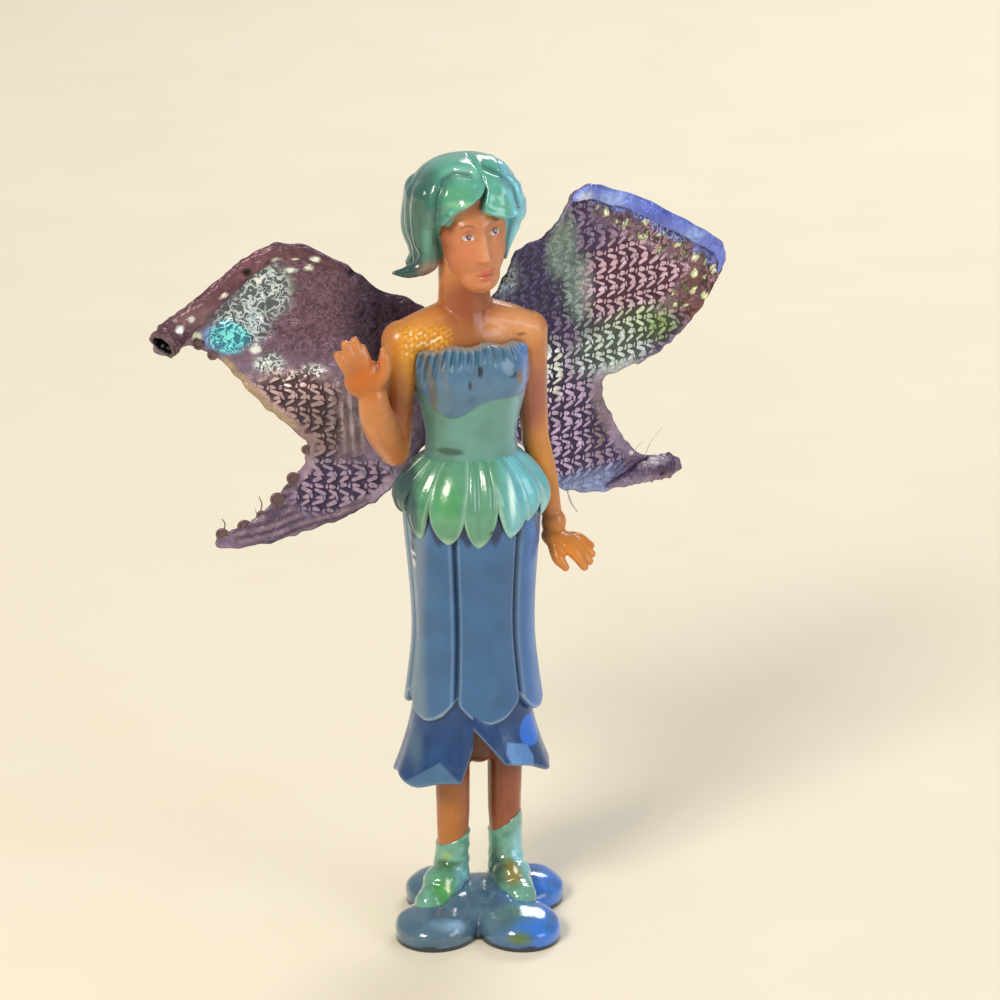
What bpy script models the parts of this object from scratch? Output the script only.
"""A small moulded fairy figurine with a pair of knitted fabric wings.

The figure is one painted plastic moulding: a girl in a petal dress who stands on a
four-petal flower, with one hand raised. The wings are one sheet of knitted fabric,
cut to a butterfly outline and glued to the back of the bodice.

Lengths are metres. The base frame has its origin at the middle of the flat underside,
+Z up and the notch between the two front petals towards -Y. The figure is modelled in
a body frame of its own (x to the side, -y to her front), which is turned on the base.
"""

import math

import bmesh
import bpy
from mathutils import Matrix, Vector

MM = 0.001

# Flower base
BASE_PETALS = 4
BASE_PETAL_REACH = 4.6 * MM
BASE_PETAL_LENGTH = 3.3 * MM
BASE_PETAL_WIDTH = 3.05 * MM
BASE_PETAL_HEIGHT = 2.5 * MM
BASE_CROWN_RADIUS = 4.2 * MM
BASE_CROWN_HEIGHT = 2.9 * MM
BASE_FRONT_SPLIT = math.radians(86)
BASE_BACK_SHARE = 0.93

# Stance of the body on the base
BODY_TURN = math.radians(17)
BODY_OFFSET = -0.45 * MM
BODY_SETBACK = 1.2 * MM
LEG_RADIUS = 1.28 * MM
LEG_SPREAD = 2.08 * MM
ANKLE_HEIGHT = 5.2 * MM
SHOE_LENGTH = 4.7 * MM
SHOE_WIDTH = 2.9 * MM

# Skirts, from the hem up
UNDERSKIRT_HEM = 11.7 * MM
UNDERSKIRT_DROP = 5.3 * MM
UNDERSKIRT_FLARE = 6.1 * MM
SLIT_HEIGHT = 2.9 * MM
SLIT_WIDTH = 1.9 * MM
SKIRT_LENGTH = 18.6 * MM
HIP_TO_WAIST = 2.3 * MM
UNDERSKIRT_OVERLAP = 2.2 * MM
SKIRT_PANELS = 6
PANEL_LIFT = 1.9 * MM
PANEL_GROOVE = 0.3 * MM
SKIRT_HEM_RADIUS = 5.3 * MM
SKIRT_KNEE_RADIUS = 4.72 * MM
HIP_RADIUS = 5.2 * MM
SKIRT_DEPTH_SHARE = 0.83
PEPLUM_PETALS = 12
PEPLUM_LENGTH = 5.9 * MM
PEPLUM_PETAL_WIDTH = 2.75 * MM
PEPLUM_PETAL_THICKNESS = 1.0 * MM

# Torso
WAIST_RADIUS = 3.45 * MM
TORSO_LENGTH = 8.6 * MM
BUST_RADIUS = 4.4 * MM
BUST_DEPTH = 3.6 * MM
BACK_DEPTH = 2.6 * MM
BODICE_DIP = 2.0 * MM
GATHER_COUNT = 11
GATHER_WIDTH = 0.6 * MM
SHOULDER_SPAN = 9.7 * MM
SHOULDER_RADIUS = 1.5 * MM

# Neck and head
NECK_RADIUS = 1.95 * MM
NECK_LENGTH = 4.7 * MM
SHOULDER_TO_NECK = 1.6 * MM
CHIN_TO_CENTRE = 2.2 * MM
HEAD_HEIGHT = 9.7 * MM
HEAD_WIDTH = 5.4 * MM
HEAD_DEPTH = 6.2 * MM
HEAD_TILT = math.radians(6)
HEAD_TURN = math.radians(6)
HEAD_SHIFT = -0.3 * MM
HAIR_THICKNESS = 1.2 * MM

# Arms, with the lengths from joint to joint
UPPER_ARM_LENGTH = 8.9 * MM
FOREARM_LENGTH = 6.2 * MM
ARM_RADIUS = 1.12 * MM
WRIST_RADIUS = 0.72 * MM
HAND_LENGTH = 4.9 * MM

# Wings
WING_THICKNESS = 0.45 * MM
WING_GLUE_GAP = 0.3 * MM
WING_STRIP = 5.0 * MM
WING_SWEEP = math.radians(18)
WALE_PITCH = 1.0 * MM
WALE_RIDGE = 0.09 * MM
WING_ROOT_DROP = 2.2 * MM

# Mesh fineness
VOXEL = 0.22 * MM
FIGURE_DETAIL = 0.068
RING_POINTS = 48

# Heights that follow from the sizes above
SKIRT_HEM = UNDERSKIRT_HEM + UNDERSKIRT_DROP
WAIST = SKIRT_HEM + SKIRT_LENGTH + HIP_TO_WAIST
SHOULDER = WAIST + TORSO_LENGTH
NECK_BASE = SHOULDER + SHOULDER_TO_NECK
HEAD_CENTRE = NECK_BASE + NECK_LENGTH + CHIN_TO_CENTRE

COLOURS = {
    "figure": (0.075, 0.178, 0.392, 1.0),
    "wings": (0.174, 0.093, 0.202, 1.0),
}


def clear_scene():
    for item in list(bpy.data.objects):
        bpy.data.objects.remove(item, do_unlink=True)


def make_collection(name):
    collection = bpy.data.collections.new(name)
    bpy.context.scene.collection.children.link(collection)
    return collection


def make_material(name, roughness, metallic):
    material = bpy.data.materials.new(name)
    material.use_nodes = True
    shader = material.node_tree.nodes["Principled BSDF"]
    shader.inputs["Base Color"].default_value = COLOURS[name]
    shader.inputs["Roughness"].default_value = roughness
    shader.inputs["Metallic"].default_value = metallic
    return material


def new_object(name, mesh, collection):
    item = bpy.data.objects.new(name, mesh)
    collection.objects.link(item)
    return item


def around(angle, width, depth_front, depth_back):
    """A point of an oval ring; angle 0 is her front and grows towards +x."""
    depth = depth_front if math.cos(angle) > 0 else depth_back
    return Vector((width * math.sin(angle), -depth * math.cos(angle), 0.0))


def add_ball(bm, centre, radii, turn=None):
    """An ellipsoid with its own turn, from a unit sphere."""
    place = Matrix.Translation(Vector(centre))
    if turn is not None:
        place = place @ turn.to_4x4()
    place = place @ Matrix.Diagonal((*radii, 1.0))
    ball = bmesh.new()
    bmesh.ops.create_uvsphere(ball, u_segments=28, v_segments=18, radius=1.0, matrix=place)
    mesh = bpy.data.meshes.new("ball")
    ball.to_mesh(mesh)
    ball.free()
    bm.from_mesh(mesh)
    bpy.data.meshes.remove(mesh)


def add_limb(bm, stations):
    """A round limb through (x, y, z, radius) stations, with round ends."""
    curve = bpy.data.curves.new("limb", "CURVE")
    curve.dimensions = "3D"
    curve.bevel_depth = 1.0
    curve.bevel_resolution = 5
    curve.resolution_u = 6
    curve.use_fill_caps = True
    spline = curve.splines.new("BEZIER")
    spline.bezier_points.add(len(stations) - 1)
    for point, (x, y, z, radius) in zip(spline.bezier_points, stations):
        point.co = (x, y, z)
        point.radius = radius
        point.handle_left_type = "AUTO"
        point.handle_right_type = "AUTO"
    guide = bpy.data.objects.new("limb", curve)
    bpy.context.scene.collection.objects.link(guide)
    bpy.context.view_layer.update()
    graph = bpy.context.evaluated_depsgraph_get()
    mesh = bpy.data.meshes.new_from_object(guide.evaluated_get(graph))
    bpy.data.objects.remove(guide, do_unlink=True)
    bm.from_mesh(mesh)
    bpy.data.meshes.remove(mesh)
    for x, y, z, radius in (stations[0], stations[-1]):
        add_ball(bm, (x, y, z), (radius, radius, radius))


def add_loft(bm, rings):
    """A closed skin through rings with the same number of points."""
    rows = [[bm.verts.new(point) for point in ring] for ring in rings]
    count = len(rows[0])
    for low, high in zip(rows, rows[1:]):
        for i in range(count):
            j = (i + 1) % count
            bm.faces.new((low[i], low[j], high[j], high[i]))
    bm.faces.new(list(reversed(rows[0])))
    bm.faces.new(rows[-1])


def add_leaf(bm, spine, width, thickness, point_share=0.35):
    """A pointed leaf along a spine of (position, outward direction) pairs."""
    rings = []
    last = len(spine) - 1
    for i, (centre, outward) in enumerate(spine):
        along = spine[min(i + 1, last)][0] - spine[max(i - 1, 0)][0]
        side = along.cross(outward).normalized()
        t = i / last
        spread = math.sin(math.pi * (0.12 + 0.86 * t ** 0.85)) ** 0.75
        spread = max(spread, point_share * (1 - t), 0.04)
        ring = []
        for k in range(12):
            angle = 2 * math.pi * k / 12
            ring.append(centre + side * math.cos(angle) * width / 2 * spread
                        + outward * math.sin(angle) * thickness / 2 * max(spread, 0.3))
        rings.append(ring)
    add_loft(bm, rings)


def petal_angles():
    """Spoke angles of the base petals, measured from -Y; the front pair is split most."""
    rest = (2 * math.pi - BASE_FRONT_SPLIT) / (BASE_PETALS - 1)
    return [BASE_FRONT_SPLIT / 2 + rest * i for i in range(BASE_PETALS)]


def model_base(bm):
    """Four domed petals round a low crown, sunk below the table until the flat cut."""
    sink = 0.35 * BASE_PETAL_HEIGHT
    for angle in petal_angles():
        share = 1.0 if math.cos(angle) > 0 else BASE_BACK_SHARE
        spoke = Vector((math.sin(angle), -math.cos(angle), 0.0)) * BASE_PETAL_REACH * share
        turn = Matrix.Rotation(angle, 3, "Z")
        width, length = BASE_PETAL_WIDTH * share, BASE_PETAL_LENGTH * share
        add_ball(bm, spoke + Vector((0, 0, sink)), (width, length, BASE_PETAL_HEIGHT - sink), turn)
        add_ball(bm, spoke, (width * 0.99, length * 0.99, BASE_PETAL_HEIGHT * 0.8), turn)
    add_ball(bm, (0, 0, 0), (BASE_CROWN_RADIUS, BASE_CROWN_RADIUS, BASE_CROWN_HEIGHT))


def model_leg(bm, side, x, y, toe_turn):
    """One leg with its slipper; the leg ends inside the skirt."""
    top = SKIRT_HEM + 2 * MM
    add_limb(bm, [(x, y, top, LEG_RADIUS * 1.1),
                  (x, y, UNDERSKIRT_HEM * 0.85, LEG_RADIUS),
                  (x + side * 0.05 * MM, y, ANKLE_HEIGHT, LEG_RADIUS * 0.93),
                  (x + side * 0.1 * MM, y, ANKLE_HEIGHT * 0.45, LEG_RADIUS)])
    ahead = Matrix.Rotation(toe_turn, 3, "Z") @ Vector((0, -1, 0))
    heel = Vector((x, y, ANKLE_HEIGHT * 0.5))
    middle = heel + ahead * SHOE_LENGTH * 0.45 + Vector((0, 0, -0.2 * MM))
    toe = heel + ahead * SHOE_LENGTH * 0.78 + Vector((0, 0, -0.75 * MM))
    add_limb(bm, [(*heel, SHOE_WIDTH * 0.47), (*middle, SHOE_WIDTH * 0.5), (*toe, SHOE_WIDTH * 0.34)])
    cuff = Vector((x, y, ANKLE_HEIGHT))
    add_limb(bm, [(*cuff, LEG_RADIUS * 1.07), (*(cuff + ahead * 0.4 * MM - Vector((0, 0, 2 * MM))),
                                              SHOE_WIDTH * 0.48)])


def underskirt_hem(angle):
    """Height of the pointed hem, with the slit a little to her right of the front."""
    slit_at = math.radians(-14)
    offset = (angle - slit_at + math.pi) % (2 * math.pi) - math.pi
    front = math.exp(-(offset / math.radians(50 if offset < 0 else 62)) ** 2)
    height = UNDERSKIRT_HEM + (1.2 if offset < 0 else 2.3) * MM * front
    half = SLIT_WIDTH / UNDERSKIRT_FLARE * (0.75 if offset < 0 else 1.5)
    slit = max(0.0, 1 - abs(offset) / half)
    return height + SLIT_HEIGHT * slit - 0.35 * MM * math.cos(6 * angle) * (1 - front)


def model_underskirt(bm):
    """A flared bell, open below, that hangs from under the long skirt."""
    angles = [2 * math.pi * i / (2 * RING_POINTS) for i in range(2 * RING_POINTS)]
    wall = 0.9 * MM
    top = SKIRT_HEM + UNDERSKIRT_OVERLAP
    rings = []
    for share, inset in ((0, 0), (0.35, 0), (0.7, 0), (1, 0), (1, wall), (0.6, wall)):
        ring = []
        for angle in angles:
            hem = underskirt_hem(angle)
            z = top + (hem - top) * share
            radius = SKIRT_KNEE_RADIUS * 0.92 + (UNDERSKIRT_FLARE - SKIRT_KNEE_RADIUS * 0.92) * share ** 1.7
            radius -= inset
            spot = around(angle, radius, radius * 0.87, radius * 0.87)
            ring.append(Vector((spot.x, spot.y, z)))
        rings.append(ring)
    add_loft(bm, list(reversed(rings)))


def skirt_radius(share):
    """Skirt radius from the hem (0) up to the hip (1)."""
    stops = ((0.0, SKIRT_HEM_RADIUS), (0.12, (SKIRT_HEM_RADIUS + SKIRT_KNEE_RADIUS) / 2),
             (0.3, SKIRT_KNEE_RADIUS), (0.62, (HIP_RADIUS + SKIRT_KNEE_RADIUS) / 2 - 0.05 * MM),
             (0.88, HIP_RADIUS), (1.0, HIP_RADIUS * 0.93))
    for (low, a), (high, b) in zip(stops, stops[1:]):
        if share <= high:
            ease = (share - low) / (high - low)
            ease = ease * ease * (3 - 2 * ease)
            return a + (b - a) * ease
    return stops[-1][1]


def model_skirt(bm):
    """The long skirt of rounded panels, with a groove between neighbours."""
    count = 2 * RING_POINTS
    angles = [2 * math.pi * i / count for i in range(count)]
    top = SKIRT_HEM + SKIRT_LENGTH
    rings = []
    shares = [0.0, 0.04, 0.12, 0.2, 0.3, 0.45, 0.62, 0.75, 0.88, 1.0]
    for row, share in enumerate(shares):
        ring = []
        for angle in angles:
            phase = abs(math.sin(SKIRT_PANELS * angle / 2))
            seam = phase ** 10
            hem = SKIRT_HEM + PANEL_LIFT * (1 - math.sqrt(max(0.0, 1 - phase ** 2.4)))
            z = hem + (top - hem) * share
            radius = skirt_radius(share) - PANEL_GROOVE * seam
            if row == 0:
                radius -= 0.25 * MM
            spot = around(angle, radius, radius * SKIRT_DEPTH_SHARE, radius * SKIRT_DEPTH_SHARE)
            ring.append(Vector((spot.x + 0.2 * MM * (1 - share), spot.y, z)))
        rings.append(ring)
    add_loft(bm, rings)


def model_peplum(bm):
    """Pointed petals that fall from the waist over the hip."""
    profile = ((0.0, WAIST_RADIUS * 0.8), (0.12, WAIST_RADIUS * 1.06), (0.3, HIP_RADIUS * 0.87),
               (0.5, HIP_RADIUS * 1.0), (0.7, HIP_RADIUS * 1.045), (0.88, HIP_RADIUS * 1.02),
               (1.0, HIP_RADIUS * 0.965))
    for i in range(PEPLUM_PETALS):
        angle = 2 * math.pi * i / PEPLUM_PETALS + math.radians(-3)
        spine = []
        for share, radius in profile:
            spot = around(angle, radius, radius * 0.82, radius * 0.82)
            spot.z = WAIST - 0.3 * MM - PEPLUM_LENGTH * share
            outward = Vector((spot.x, spot.y, 0)).normalized()
            spine.append((spot, outward))
        add_leaf(bm, spine, PEPLUM_PETAL_WIDTH, PEPLUM_PETAL_THICKNESS)
    low = WAIST - PEPLUM_LENGTH * 0.55
    body = []
    for z, radius in ((low, HIP_RADIUS * 0.87), (WAIST - 0.25 * PEPLUM_LENGTH, HIP_RADIUS * 0.78),
                      (WAIST, WAIST_RADIUS)):
        body.append([around(2 * math.pi * k / RING_POINTS, radius, radius * 0.8, radius * 0.76)
                     + Vector((0, 0, z)) for k in range(RING_POINTS)])
    add_loft(bm, body)


def model_torso(bm):
    """The bodice with its dipped top edge, and the bare chest and back inside it."""
    def section(height, width, front, back, lean):
        ring = []
        for k in range(RING_POINTS):
            angle = 2 * math.pi * k / RING_POINTS
            spot = around(angle, width, front, back)
            ring.append(Vector((spot.x + lean, spot.y, height)))
        return ring

    bodice = [
        section(WAIST - 1.2 * MM, WAIST_RADIUS * 1.08, WAIST_RADIUS * 0.86, BACK_DEPTH * 0.96, 0),
        section(WAIST, WAIST_RADIUS, WAIST_RADIUS * 0.78, BACK_DEPTH * 0.95, 0),
        section(WAIST + 0.22 * TORSO_LENGTH, WAIST_RADIUS * 1.05, WAIST_RADIUS * 0.82, BACK_DEPTH * 0.98, 0),
        section(WAIST + 0.45 * TORSO_LENGTH, BUST_RADIUS * 0.93, BUST_DEPTH * 0.88, BACK_DEPTH, 0),
        section(WAIST + 0.65 * TORSO_LENGTH, BUST_RADIUS, BUST_DEPTH, BACK_DEPTH, -0.1 * MM),
    ]
    for rise, grow in ((0.75, 0.99), (0.86, 0.95), (0.9, 0.84)):
        ring = section(0, BUST_RADIUS * grow, BUST_DEPTH * grow * 0.98, BACK_DEPTH * min(1.0, grow + 0.04),
                       -0.2 * MM)
        for k, point in enumerate(ring):
            front = 0.5 + 0.5 * math.cos(2 * math.pi * k / RING_POINTS)
            share = (rise - 0.65) / (0.9 - 0.65)
            point.z = WAIST + TORSO_LENGTH * rise + share * BODICE_DIP * (front - 0.55)
        bodice.append(ring)
    add_loft(bm, bodice)
    chest = [
        section(WAIST + 0.45 * TORSO_LENGTH, BUST_RADIUS * 0.85, BUST_DEPTH * 0.8, BACK_DEPTH * 0.96, -0.2 * MM),
        section(WAIST + 0.8 * TORSO_LENGTH, BUST_RADIUS * 0.92, BUST_DEPTH * 0.84, BACK_DEPTH * 0.96, -0.3 * MM),
        section(SHOULDER, BUST_RADIUS * 0.9, BUST_DEPTH * 0.72, BACK_DEPTH * 0.96, -0.4 * MM),
        section(SHOULDER + 1.1 * MM, BUST_RADIUS * 0.7, BUST_DEPTH * 0.55, BACK_DEPTH * 0.85, -0.4 * MM),
        section(NECK_BASE + 0.3 * MM, NECK_RADIUS, NECK_RADIUS, NECK_RADIUS, -0.4 * MM),
    ]
    add_loft(bm, chest)
    bust = WAIST + 0.69 * TORSO_LENGTH
    for side in (-1, 1):
        add_ball(bm, (side * BUST_RADIUS * 0.42, -BUST_DEPTH * 0.52, bust),
                 (BUST_RADIUS * 0.47, BUST_DEPTH * 0.57, BUST_RADIUS * 0.45))
    half = SHOULDER_SPAN / 2
    add_limb(bm, [(-half - 0.4 * MM, 0, SHOULDER, SHOULDER_RADIUS),
                  (-half * 0.6 - 0.4 * MM, 0, SHOULDER + 0.6 * MM, SHOULDER_RADIUS * 1.15),
                  (-0.4 * MM, 0, SHOULDER + 0.9 * MM, SHOULDER_RADIUS * 1.3),
                  (half * 0.6 - 0.4 * MM, 0, SHOULDER + 0.5 * MM, SHOULDER_RADIUS * 1.12),
                  (half - 0.4 * MM, 0, SHOULDER - 0.1 * MM, SHOULDER_RADIUS * 0.95)])


def model_gathers(bm):
    """Short upright folds where the top edge of the bodice is drawn in."""
    for i in range(GATHER_COUNT):
        angle = math.radians(-62 + 124 * i / (GATHER_COUNT - 1))
        front = 0.5 + 0.5 * math.cos(angle)
        z = WAIST + TORSO_LENGTH * 0.9 + BODICE_DIP * (front - 0.55)
        high = around(angle, BUST_RADIUS * 0.88, BUST_DEPTH * 0.86, BACK_DEPTH) + Vector((-0.2 * MM, 0, z))
        low = around(angle, BUST_RADIUS * 0.96, BUST_DEPTH * 0.95, BACK_DEPTH)
        low += Vector((-0.2 * MM, 0, z - 1.5 * MM))
        add_limb(bm, [(*high, GATHER_WIDTH * 0.5), (*low, GATHER_WIDTH * 0.36)])


def model_neck_and_head(bm):
    """The neck and the plain head inside the hair."""
    add_limb(bm, [(-0.4 * MM, 0.2 * MM, NECK_BASE - 0.8 * MM, NECK_RADIUS * 1.2),
                  (-0.4 * MM, 0.25 * MM, NECK_BASE + 0.25 * NECK_LENGTH, NECK_RADIUS),
                  (-0.45 * MM, 0.3 * MM, HEAD_CENTRE - 1.5 * MM, NECK_RADIUS * 0.97)])
    tilt = Matrix.Rotation(-HEAD_TILT, 3, "Y") @ Matrix.Rotation(HEAD_TURN, 3, "Z")
    centre = Vector((HEAD_SHIFT, 0, HEAD_CENTRE))
    half = Vector((HEAD_WIDTH, HEAD_DEPTH, HEAD_HEIGHT)) / 2

    def ball(offset, radii):
        add_ball(bm, centre + tilt @ Vector([o * h for o, h in zip(offset, half)]),
                 [r * h for r, h in zip(radii, half)], tilt)

    ball((0, 0.05, 0.18), (1.0, 0.95, 0.74))
    ball((0, -0.34, -0.3), (0.9, 0.66, 0.72))
    ball((0, -0.62, -0.84), (0.42, 0.34, 0.24))
    ball((0, -0.98, -0.38), (0.15, 0.15, 0.2))
    ball((0, -0.88, -0.69), (0.3, 0.12, 0.09))
    return centre, tilt


def model_hair(bm, centre, tilt):
    """A swept bob: a cap, two fringe lobes, and locks that flip out at the ends."""
    half = Vector((HEAD_WIDTH, HEAD_DEPTH, HEAD_HEIGHT)) / 2
    thick = HAIR_THICKNESS

    def spot(x, y, z):
        return centre + tilt @ Vector((x * half.x, y * half.y, z * half.z))

    add_ball(bm, spot(-0.02, 0.28, 0.28), (half.x + thick * 0.9, half.y + thick * 0.6, half.z * 0.72), tilt)
    sweep = Matrix.Rotation(math.radians(-32), 3, "Y")
    add_ball(bm, spot(-0.66, -0.72, 0.5), (half.x * 0.92, half.y * 0.46, half.z * 0.34), sweep)
    fall = Matrix.Rotation(math.radians(24), 3, "Y")
    add_ball(bm, spot(0.42, -0.68, 0.44), (half.x * 0.72, half.y * 0.42, half.z * 0.45), fall)
    locks = (
        ((-1.03, 0.0, 0.45, 1.1), (-1.12, 0.1, -0.05, 0.95), (-1.02, 0.16, -0.45, 0.8),
         (-1.35, 0.22, -0.7, 0.55), (-1.84, 0.26, -0.74, 0.2)),
        ((1.12, 0.05, 0.4, 1.0), (1.26, 0.1, -0.05, 0.75), (1.12, 0.16, -0.5, 0.55), (1.0, 0.22, -0.8, 0.4)),
        ((-0.8, 0.85, 0.3, 1.3), (-0.95, 0.95, -0.3, 1.15), (-1.0, 1.05, -0.75, 0.8), (-1.2, 1.25, -0.98, 0.35)),
        ((0.0, 1.0, 0.3, 1.4), (0.0, 1.08, -0.3, 1.25), (0.0, 1.15, -0.72, 0.9), (0.05, 1.38, -0.95, 0.4)),
        ((0.8, 0.8, 0.3, 1.2), (0.95, 0.9, -0.3, 1.05), (1.0, 0.98, -0.7, 0.75), (1.15, 1.2, -0.93, 0.35)),
    )
    for lock in locks:
        add_limb(bm, [(*spot(x, y, z), size * thick) for x, y, z, size in lock])


def model_raised_arm(bm):
    """Her right arm: down to the elbow, then up to an open hand beside the shoulder."""
    half = SHOULDER_SPAN / 2 + 0.4 * MM
    shoulder = Vector((-half, 0, SHOULDER))
    elbow = shoulder + Vector((-0.06, 0.05, -1)).normalized() * UPPER_ARM_LENGTH
    middle = (shoulder + elbow) / 2
    add_limb(bm, [(*shoulder, SHOULDER_RADIUS), (*middle, ARM_RADIUS * 1.05), (*elbow, ARM_RADIUS * 1.02)])
    wrist = elbow + Vector((-0.36, -0.38, 0.85)).normalized() * FOREARM_LENGTH
    middle = elbow.lerp(wrist, 0.45) + Vector((-0.15 * MM, 0, 0))
    add_limb(bm, [(*elbow, ARM_RADIUS * 1.05), (*middle, ARM_RADIUS * 1.18), (*wrist, WRIST_RADIUS * 1.5)])
    palm = wrist + Vector((-0.12, -0.1, 0.34)) * HAND_LENGTH
    add_ball(bm, palm, (HAND_LENGTH * 0.33, HAND_LENGTH * 0.15, HAND_LENGTH * 0.3))
    for i, lean in enumerate((-0.5, -0.41, -0.3, -0.2)):
        reach = (0.76, 0.93, 1.0, 0.96)[i]
        root = palm + Vector((-0.22 + 0.08 * i, 0, 0.06)) * HAND_LENGTH
        tip = wrist + Vector((lean, -0.16, reach)) * HAND_LENGTH
        add_limb(bm, [(*root, 0.5 * MM), (*((root + tip) / 2), 0.5 * MM), (*tip, 0.34 * MM)])
    root = palm + Vector((0.16, 0, -0.1)) * HAND_LENGTH
    tip = wrist + Vector((0.16, -0.12, 0.83)) * HAND_LENGTH
    add_limb(bm, [(*root, 0.6 * MM), (*((root + tip) / 2 + Vector((0.35 * MM, 0, 0))), 0.52 * MM),
                  (*tip, 0.26 * MM)])


def model_hanging_arm(bm):
    """Her left arm: down beside the skirt, with the hand turned out, palm down."""
    half = SHOULDER_SPAN / 2 - 0.4 * MM
    shoulder = Vector((half, 0, SHOULDER - 0.1 * MM))
    elbow = shoulder + Vector((0.11, 0.07, -1)).normalized() * UPPER_ARM_LENGTH
    middle = (shoulder + elbow) / 2
    add_limb(bm, [(*shoulder, SHOULDER_RADIUS * 0.95), (*middle, ARM_RADIUS), (*elbow, ARM_RADIUS * 0.92)])
    wrist = elbow + Vector((0.17, -0.02, -1)).normalized() * FOREARM_LENGTH
    middle = elbow.lerp(wrist, 0.45) + Vector((0.12 * MM, 0, 0))
    add_limb(bm, [(*elbow, ARM_RADIUS * 0.92), (*middle, ARM_RADIUS * 0.86), (*wrist, WRIST_RADIUS)])
    palm = wrist + Vector((0.1, -0.12, -0.42)) * HAND_LENGTH
    turn = Matrix.Rotation(math.radians(24), 3, "Y")
    add_ball(bm, wrist + Vector((0.0, -0.03, -0.18)) * HAND_LENGTH,
             (HAND_LENGTH * 0.18, HAND_LENGTH * 0.17, HAND_LENGTH * 0.22))
    add_ball(bm, palm, (HAND_LENGTH * 0.36, HAND_LENGTH * 0.3, HAND_LENGTH * 0.17), turn)
    for i in range(4):
        root = palm + Vector((0.1, 0.14 - 0.11 * i, -0.02)) * HAND_LENGTH
        tip = wrist + Vector((0.66 - 0.06 * i, 0.06 - 0.15 * i, -0.56 - 0.05 * i)) * HAND_LENGTH
        add_limb(bm, [(*root, 0.48 * MM), (*((root + tip) / 2 + Vector((0, 0, 0.15 * MM))), 0.46 * MM),
                      (*tip, 0.32 * MM)])
    root = palm + Vector((-0.2, -0.14, 0.0)) * HAND_LENGTH
    tip = wrist + Vector((0.08, -0.42, -0.64)) * HAND_LENGTH
    add_limb(bm, [(*root, 0.5 * MM), (*tip, 0.34 * MM)])


def build_figure(parts, cutters):
    """Join every form of the moulding, fuse them into one skin, and cut the foot flat."""
    body = bmesh.new()
    model_leg(body, -1, -LEG_SPREAD + 0.55 * MM, 0.0, math.radians(-44))
    model_leg(body, 1, LEG_SPREAD + 0.55 * MM, 0.1 * MM, math.radians(2))
    model_underskirt(body)
    model_skirt(body)
    model_peplum(body)
    model_torso(body)
    model_gathers(body)
    centre, tilt = model_neck_and_head(body)
    model_hair(body, centre, tilt)
    model_raised_arm(body)
    model_hanging_arm(body)
    stand = Matrix.Translation((BODY_OFFSET, BODY_SETBACK, 0)) @ Matrix.Rotation(BODY_TURN, 4, "Z")
    bmesh.ops.transform(body, matrix=stand, verts=body.verts)
    model_base(body)
    mesh = bpy.data.meshes.new("figure")
    body.to_mesh(mesh)
    body.free()
    figure = new_object("figure", mesh, parts)
    figure.data.materials.append(make_material("figure", 0.35, 0.0))

    fuse = figure.modifiers.new("fuse the forms", "REMESH")
    fuse.mode = "VOXEL"
    fuse.voxel_size = VOXEL
    soften = figure.modifiers.new("soften the joins", "SMOOTH")
    soften.factor = 0.5
    soften.iterations = 2
    thin_out = figure.modifiers.new("thin out the faces", "DECIMATE")
    thin_out.ratio = FIGURE_DETAIL

    span = 4 * (BASE_PETAL_REACH + BASE_PETAL_LENGTH)
    bpy.ops.mesh.primitive_cube_add(size=1.0)
    table = bpy.context.active_object
    table.name = "table_cut"
    table.scale = (span, span, BASE_PETAL_HEIGHT * 2)
    table.location = (0, 0, -BASE_PETAL_HEIGHT)
    move_to(table, cutters)
    flat = figure.modifiers.new("flat foot", "BOOLEAN")
    flat.operation = "DIFFERENCE"
    flat.object = table
    figure.data.shade_smooth()
    return figure


def move_to(item, collection):
    for owner in list(item.users_collection):
        owner.objects.unlink(item)
    collection.objects.link(item)
    item.hide_render = True
    item.display_type = "WIRE"


# Half outlines of the flat wing sheet: (distance from the middle, height above the
# waist) in millimetres, from the neck round the tip to the waist. The first list is
# her right wing, whose upper lobe is torn to a hook; the second is her left wing.
RIGHT_WING = ((3.4, 10.4), (6.0, 11.2), (8.4, 13.2), (11.3, 14.6), (13.6, 14.7), (15.7, 13.6),
              (19.1, 10.4), (22.5, 7.3), (22.8, 6.2), (21.6, 5.7), (19.9, 6.9), (17.5, 5.5),
              (14.6, 2.3), (12.2, 0.2), (11.3, -0.7), (11.6, -2.7), (12.9, -4.2), (14.0, -5.7),
              (15.2, -6.9), (16.5, -7.6), (17.9, -8.1), (18.5, -8.7), (18.1, -9.3), (14.3, -8.7),
              (9.4, -7.1), (6.0, -5.2), (4.2, -3.2), (3.2, -1.4))
LEFT_WING = ((3.4, 10.9), (4.7, 13.4), (7.2, 13.9), (8.5, 15.4), (9.6, 17.2), (11.4, 17.4),
             (15.3, 15.8), (20.0, 13.0), (23.7, 10.7), (24.2, 9.5), (23.6, 7.8), (21.5, 5.4),
             (19.6, 3.6), (17.6, 2.6), (15.4, 2.2), (12.6, 1.9), (12.6, 0.4), (14.3, -2.9),
             (16.5, -5.2), (18.2, -5.8), (20.3, -6.2), (20.6, -7.3), (18.0, -7.7), (12.2, -7.4),
             (9.0, -6.5), (7.2, -5.0), (5.6, -2.2))


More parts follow.
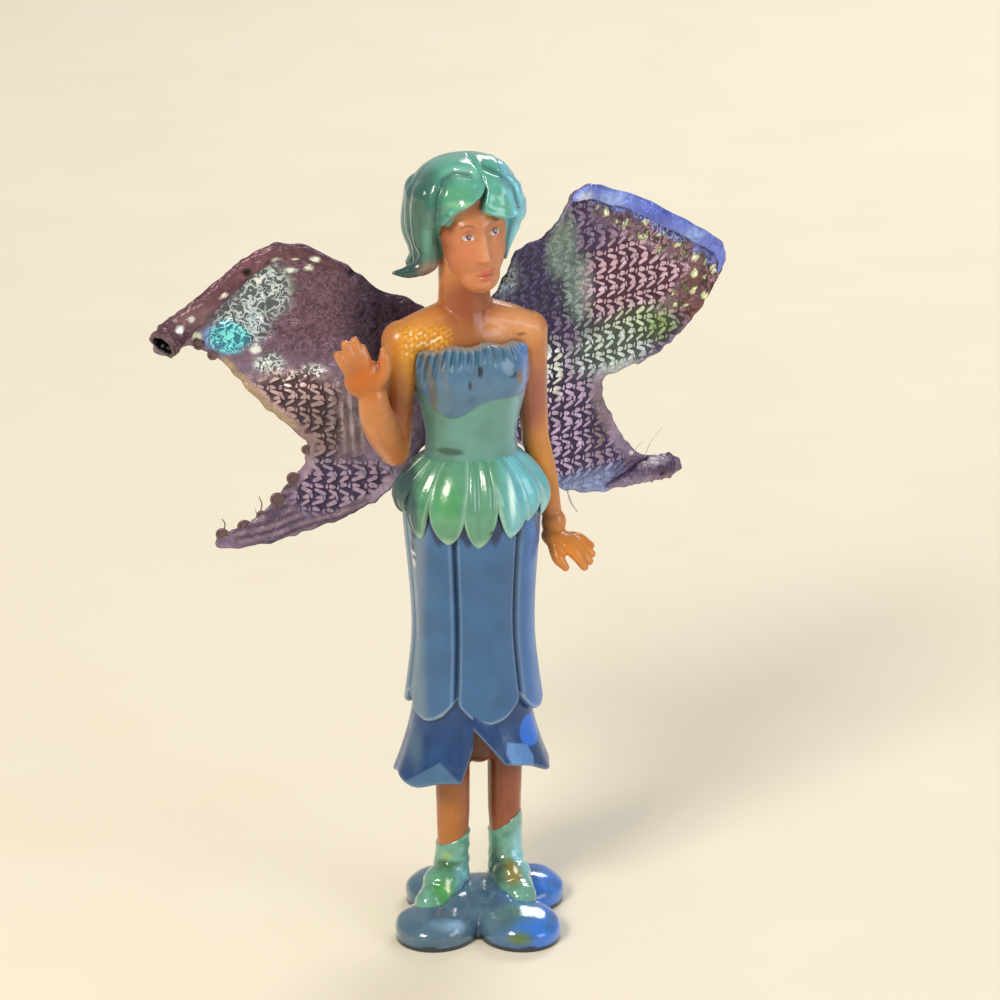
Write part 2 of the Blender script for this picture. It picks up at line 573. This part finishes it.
def wing_path(reach, step):
    """Plan of the sheet from the middle outwards: flat strip, soft fold, swept wing."""
    fold = WING_STRIP / 2
    x = y = 0.0
    path = [(0.0, 0.0, 0.0)]
    steps = int(math.ceil(reach / step))
    for i in range(steps):
        s = (i + 0.5) * step
        ease = min(1.0, max(0.0, (s - 0.6 * fold) / (0.9 * fold)))
        heading = WING_SWEEP * ease * ease * (3 - 2 * ease)
        x += step * math.cos(heading)
        y += step * math.sin(heading)
        path.append((x, y, heading))
    return path


def build_wings(parts, cutters):
    """Cut the butterfly outline from a ridged sheet, fold it and set it on the back."""
    outline = [(0.0, WAIST + TORSO_LENGTH - WING_ROOT_DROP + 1.2 * MM)]
    outline += [(s * MM, WAIST + z * MM) for s, z in LEFT_WING]
    outline += [(0.0, WAIST + 1.6 * MM)]
    outline += [(-s * MM, WAIST + z * MM) for s, z in reversed(RIGHT_WING)]
    curve = bpy.data.curves.new("wing outline", "CURVE")
    curve.dimensions = "2D"
    curve.fill_mode = "BOTH"
    curve.extrude = 3 * WING_THICKNESS
    spline = curve.splines.new("POLY")
    spline.points.add(len(outline) - 1)
    for point, (s, z) in zip(spline.points, outline):
        point.co = (s, z, 0, 1)
    spline.use_cyclic_u = True
    cut = bpy.data.objects.new("wing outline", curve)
    bpy.context.scene.collection.objects.link(cut)
    bpy.context.view_layer.update()
    graph = bpy.context.evaluated_depsgraph_get()
    prism = bpy.data.meshes.new_from_object(cut.evaluated_get(graph))
    bpy.data.objects.remove(cut, do_unlink=True)
    weld = bmesh.new()
    weld.from_mesh(prism)
    bmesh.ops.remove_doubles(weld, verts=weld.verts, dist=0.00001)
    bmesh.ops.recalc_face_normals(weld, faces=weld.faces)
    weld.to_mesh(prism)
    weld.free()
    cutter = bpy.data.objects.new("wing_outline_cut", prism)
    bpy.context.scene.collection.objects.link(cutter)
    move_to(cutter, cutters)

    reach = max(s for s, z in RIGHT_WING + LEFT_WING) * MM + WALE_PITCH
    low = min(z for s, z in outline_mm()) * MM + WAIST - WALE_PITCH
    high = max(z for s, z in outline_mm()) * MM + WAIST + WALE_PITCH
    columns = 2 * int(math.ceil(2 * reach / WALE_PITCH))
    rows = 8
    sheet = bmesh.new()
    grid = []
    for j in range(rows + 1):
        row = []
        for i in range(columns + 1):
            s = (i - columns / 2) * WALE_PITCH / 2
            ridge = WALE_RIDGE * (1 if i % 2 else -1)
            row.append(sheet.verts.new((s, low + (high - low) * j / rows, ridge)))
        grid.append(row)
    for a, b in zip(grid, grid[1:]):
        for i in range(columns):
            sheet.faces.new((a[i], a[i + 1], b[i + 1], b[i]))
    mesh = bpy.data.meshes.new("knitted sheet")
    sheet.to_mesh(mesh)
    sheet.free()
    flat = new_object("knitted_sheet", mesh, cutters)
    shell = flat.modifiers.new("thickness", "SOLIDIFY")
    shell.thickness = WING_THICKNESS
    shell.offset = 0.0
    trim = flat.modifiers.new("outline", "BOOLEAN")
    trim.operation = "INTERSECT"
    trim.object = cutter
    bpy.context.view_layer.update()
    graph = bpy.context.evaluated_depsgraph_get()
    folded = bpy.data.meshes.new_from_object(flat.evaluated_get(graph))
    flat.hide_render = True
    flat.display_type = "WIRE"

    step = 0.1 * MM
    path = wing_path(reach + WALE_PITCH, step)
    seat = BACK_DEPTH + WING_GLUE_GAP + WALE_RIDGE + WING_THICKNESS / 2
    for vertex in folded.vertices:
        s, z, offset = vertex.co
        place = abs(s) / step
        i = min(int(place), len(path) - 2)
        share = place - i
        x = path[i][0] + (path[i + 1][0] - path[i][0]) * share
        y = path[i][1] + (path[i + 1][1] - path[i][1]) * share
        heading = path[i][2]
        side = 1 if s >= 0 else -1
        vertex.co = (side * (x + offset * math.sin(heading)), seat + y - offset * math.cos(heading), z)
    folded.name = "wings"
    stand = Matrix.Translation((BODY_OFFSET, BODY_SETBACK, 0)) @ Matrix.Rotation(BODY_TURN, 4, "Z")
    folded.transform(stand)
    wings = new_object("wings", folded, parts)
    wings.data.materials.clear()
    wings.data.materials.append(make_material("wings", 0.4, 0.3))
    return wings


def outline_mm():
    return RIGHT_WING + LEFT_WING


def main():
    clear_scene()
    parts = make_collection("fairy_figurine")
    cutters = make_collection("cutters")
    build_wings(parts, cutters)
    build_figure(parts, cutters)


main()
